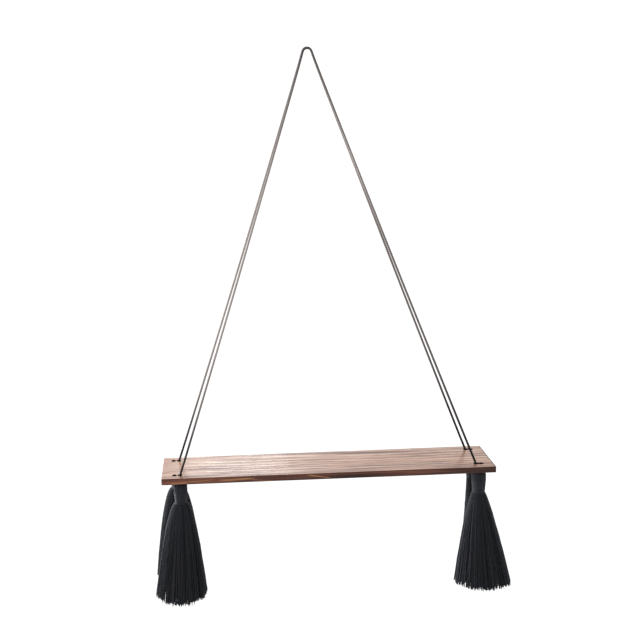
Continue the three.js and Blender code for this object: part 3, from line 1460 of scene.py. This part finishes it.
    def add_lock(
        self, bundle: Strands, ring: LockRing, index: int, seed: int, draw: np.random.Generator
    ) -> None:
        """Adds one lock's yarns to the skirt.

        Args:
            bundle: what takes the yarns.
            ring: the lock's ring.
            index: its number in the ring.
            seed: the seed of its length and turn.
            draw: the random draws of its yarns.
        """
        u = np.linspace(0, 1, self.steps)[None, :]
        t = u**1.5
        length = self.sizes.length - self.length_vary * scatter(seed, index)
        turn = (index + self.turn_vary * (2 * scatter(seed + 1, index) - 1)) * TURN / ring.count
        places = self.yarn_places(ring, draw)
        outside = self.skirt_radius(t)
        half_thick = outside * ring.thick
        centre = (outside - half_thick) * ring.across
        narrowed = 1.0 - self.gather * np.sin(np.pi * np.minimum(t * 1.3, 1.0)) ** 2
        half_wide = math.pi * centre / ring.count * narrowed
        yarns = len(places)
        aside, deeper = self.sway(t, yarns, draw)
        along = places[:, :1] * half_wide + aside
        radial = centre + (places[:, 1:] * half_thick * 0.8 + deeper)
        radial = np.minimum(radial, outside - 0.2)
        x = np.cos(turn) * radial - np.sin(turn) * along
        y = np.sin(turn) * radial + np.cos(turn) * along
        x, y = self.settle(t, x, y)
        cut = self.sizes.trim * max(0.0, -math.sin(turn))
        ends = length - cut + draw.uniform(*self.ragged, (yarns, 1))
        start = self.lip - self.tucked
        depth = start + (ends - start) * (t * 0.985 + 0.015 * u)
        lines = np.stack([x, y, -depth], -1)
        swell = 0.8 + 0.2 * np.minimum(t * 8, 1.0) + 0.12 * t
        thickness = self.yarn * swell * draw.uniform(0.85, 1.15, (yarns, 1))
        lock_tone = 0.25 + 0.5 * scatter(seed + 2, index)
        tone = np.clip(lock_tone + 0.22 * draw.normal(0, 1, yarns), 0, 1)
        across = np.array([math.cos(turn), math.sin(turn), 0.0])
        bundle.add(
            self.hung(lines),
            thickness * MM,
            across,
            self.sides,
            tone,
            self.outward(t, lines),
            self.softness,
        )

    def add_strays(self, bundle: Strands, draw: np.random.Generator) -> None:
        """Adds fine loose hairs that stand a little off the skirt.

        Args:
            bundle: what takes the hairs.
            draw: the random draws.
        """
        u = np.linspace(0, 1, self.stray_steps)[None, :]
        start = draw.uniform(0.15, 0.85, (self.stray, 1))
        reach = draw.uniform(0.08, 0.22, (self.stray, 1))
        t = np.minimum(start + reach * u, 1.0)
        angle = draw.uniform(0, TURN, (self.stray, 1)) + draw.normal(0, 0.12, (self.stray, 1)) * u
        off = draw.uniform(0.3, 3.2, (self.stray, 1)) * u**1.5
        radial = self.skirt_radius(t) - 1.0 + off
        x, y = self.settle(t, np.cos(angle) * radial, np.sin(angle) * radial)
        depth = self.root + (self.sizes.length - 6 - self.root) * t
        lines = np.stack([x, y, -depth], -1)
        radii = np.full(radial.shape, self.stray_radius * MM)
        bundle.add(self.hung(lines), radii, ALONG_X, 3, draw.uniform(0.5, 1.0, self.stray))

    def head(self, finish: bpy.types.Material) -> bpy.types.Object:
        """Makes the head: yarns over the shoulder and down to the binding, side by side on a core.

        Args:
            finish: the yarn's material.

        Returns:
            The piece.
        """
        draw = np.random.default_rng(self.sizes.seed + 100)
        thick = math.pi * self.sizes.head / self.head_yarns * self.head_fullness
        bend = np.linspace(0, math.pi / 2, self.shoulder_steps)
        radius = np.concatenate([[1.5], self.crown + (self.sizes.head - self.crown) * np.sin(bend)])
        depth = np.concatenate([[0.3], self.shoulder - (self.shoulder - 0.3) * np.cos(bend)])
        radius = np.concatenate([radius, np.full(3, self.sizes.head)]) - thick
        depth = np.concatenate([depth, np.linspace(self.shoulder + 4, self.barrel + 0.8, 3)]) + thick
        depth[-1] = self.barrel + 0.8
        vary, yarns = self.head_vary, self.head_yarns
        turn = (np.arange(yarns) + draw.uniform(-vary, vary, yarns)) * TURN / yarns
        reach = np.maximum(radius[None, :] + draw.normal(0, vary, (yarns, 1)), 0.2)
        x, y = np.cos(turn)[:, None] * reach, np.sin(turn)[:, None] * reach
        lines = np.stack([x, y, np.broadcast_to(-depth, reach.shape)], -1)
        across = np.stack([-np.sin(turn), np.cos(turn), np.zeros_like(turn)], -1)[:, None, :]
        bundle = Strands()
        radii = np.full(reach.shape, thick * MM)
        # painted light: the head's yarns take a lighter tone to lift them out of the plank's shadow
        tone = np.clip(0.70 + 0.2 * draw.normal(0, 1, yarns), 0, 1)
        bundle.add(self.hung(lines), radii, across, 6, tone)
        self.add_core(bundle)
        return bundle.piece(f"head_{self.sizes.name}", Slot.YARN, finish)

    def add_core(self, bundle: Strands) -> None:
        """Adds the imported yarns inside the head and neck, as one turned form.

        Args:
            bundle: what takes the form.
        """
        inset = 1.3
        rows = [
            (self.crown - inset, 1.6),
            (self.sizes.head - inset - 1.0, 4.5),
            (self.sizes.head - inset, self.shoulder),
            (self.sizes.head - inset, self.barrel),
            (self.neck - inset, self.lip),
            (self.neck - inset, self.root + 1.5),
        ]
        lines = np.array([[(0.0, 0.0, -depth) for _, depth in rows]])
        radii = np.array([[radius * MM for radius, _ in rows]])
        bundle.add(self.hung(lines), radii, ALONG_X, 24, np.array([0.1]))

    def binding(self, finish: bpy.types.Material) -> bpy.types.Object:
        """Makes the binding: one yarn wound round the waist from top to foot, with its ends tucked in.

        Args:
            finish: the wound yarn's material.

        Returns:
            The piece.
        """
        steps = self.turns * self.binding_steps + 1
        share = np.linspace(0, 1, steps)
        high, low = self.barrel + 0.3, self.lip - 0.3
        half = (low - high) / (self.turns + 1) / 2
        depth = high + half + (low - high - 2 * half) * share
        radius = self.sizes.head - half - self.pull * (depth - high) / (low - high)
        tuck = np.minimum(np.minimum(share, 1 - share) * self.turns * 4, 1.0)
        angle = share * self.turns * TURN + self.sizes.seed
        wobble = 0.12 * np.sin(angle * 0.37 + self.sizes.seed) * tuck
        radius = radius - 1.1 * (1 - tuck) - np.abs(wobble)
        line = np.stack([np.cos(angle) * radius, np.sin(angle) * radius, -depth - wobble], -1)
        bundle = Strands()
        radii = np.full((1, steps), half * 1.18 * MM)
        bundle.add(self.hung(line[None]), radii, ALONG_Z, 8, np.array([0.6]))
        piece = bundle.piece(f"wound_binding_{self.sizes.name}", Slot.BINDING, finish)
        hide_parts(f"binding_{self.sizes.name}")
        return piece

    def build(self, yarn: bpy.types.Material, wound: bpy.types.Material) -> None:
        """Makes all the tassel's pieces.

        Args:
            yarn: the finish of the skirt and the head.
            wound: the finish of the binding.
        """
        self.skirt(yarn)
        self.head(yarn)
        self.binding(wound)


def main() -> None:
    """Builds the shelf: the camera and ropes first, then the plank, the tassels and the studio."""
    logging.basicConfig(level=logging.INFO, format="%(name)s: %(message)s")
    PhotoCamera().build()
    low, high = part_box("plank")
    board = Board(Vector(low), Vector(high))
    # the rope's pale colour is painted light for its lit upper stretches
    rope_cotton = PliedYarn(
        "rope_cotton",
        (0.010, 0.009, 0.009),
        (0.034, 0.030, 0.029),
        pitch=4 * MM,
        sheen=0.1,
        painted_light_colour=(0.540, 0.480, 0.455),
    ).material()
    for route in ROUTES:
        Rope(route, board).build(rope_cotton)
    plank = Plank(board)
    # the webs between the right end's holes take painted shade
    wood = StainedWood(tuple(low), tuple(high), plank.webs(End.RIGHT))
    plank.build(wood.material(), wood.bore())
    yarn = PliedYarn("tassel_yarn", (0.0075, 0.008, 0.010), (0.030, 0.0315, 0.038)).material()
    wound = PliedYarn(
        "binding_yarn", (0.012, 0.0122, 0.0145), (0.034, 0.0355, 0.042), relief=0.12 * MM
    ).material()
    for sizes in TASSELS:
        Tassel(sizes, board).build(yarn, wound)
    Studio().build()


if __name__ == "__main__":
    main()
